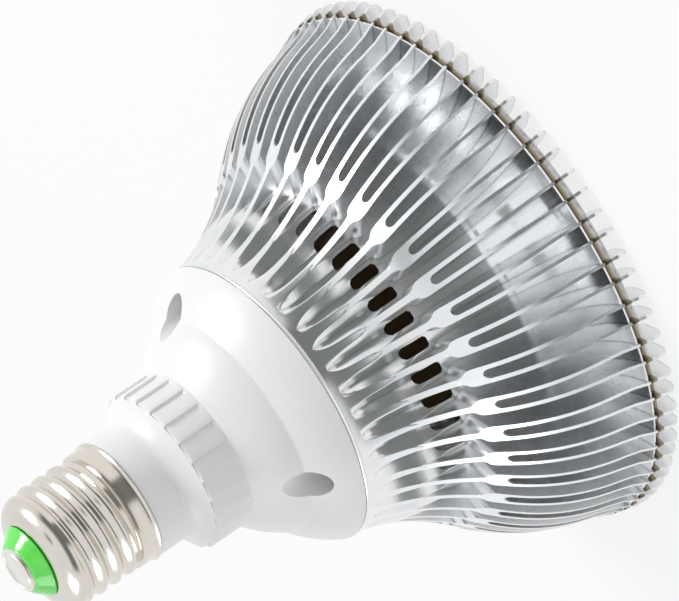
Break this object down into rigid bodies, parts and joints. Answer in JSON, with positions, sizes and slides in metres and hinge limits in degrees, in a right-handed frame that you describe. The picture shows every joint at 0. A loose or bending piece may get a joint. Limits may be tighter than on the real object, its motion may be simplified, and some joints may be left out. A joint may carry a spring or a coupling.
{
  "type": "led reflector bulb",
  "caption": "Reflector bulb for an aquarium lamp: screw base, ribbed white collar and domed housing, bell-shaped aluminium heat sink of forked fins, lens plate at the front.",
  "frame": {"origin": "on the axis, in the plane of the front bezel and the petal ends, which the bulb stands on", "axes": "+Z along the bulb's axis from the lens front to the centre contact; +X to the right in the reference picture"},
  "size_m": [0.1214, 0.1214, 0.121],
  "materials": {
    "polished_aluminium": "polished",
    "white_plastic": "satin gloss",
    "zinc_steel": "zinc plated",
    "nickel_brass": "nickel plated",
    "green_insulator": "gloss",
    "contact_metal": "nickel plated",
    "brown_sleeve": "matt",
    "circuit_board": "solder resist",
    "ferrite": "matt",
    "capacitor_can": "sleeved",
    "choke_winding": "enamelled",
    "black_resin": "matt",
    "resistor_body": "lacquered",
    "brown_wire": "matt",
    "blue_wire": "matt",
    "red_wire": "matt",
    "white_board": "white solder resist",
    "blue_emitter": "clear dome",
    "white_emitter": "phosphor",
    "black_plate": "fine grain",
    "clear_lens": "clear",
    "bezel_metal": "brushed"
  },
  "bodies": {
    "root": {"heat_sink": "polished_aluminium", "housing": "white_plastic", "housing_screws": "zinc_steel", "screw_shell": "nickel_brass", "insulator": "green_insulator", "centre_contact": "contact_metal", "driver_sleeve": "brown_sleeve", "driver_board": "circuit_board", "transformer": "ferrite", "input_capacitor": "capacitor_can", "output_capacitor": "capacitor_can", "line_choke": "choke_winding", "bridge_rectifier": "black_resin", "fuse_resistor": "resistor_body", "power_transistor": "black_resin", "live_wire": "brown_wire", "neutral_wire": "blue_wire", "led_leads": "red_wire", "led_board": "white_board", "board_screws": "zinc_steel", "blue_emitters": "blue_emitter", "white_emitters": "white_emitter", "lens_plate": "black_plate", "lenses": "clear_lens", "front_bezel": "bezel_metal", "bezel_screws": "zinc_steel"}
  },
  "joints": []
}
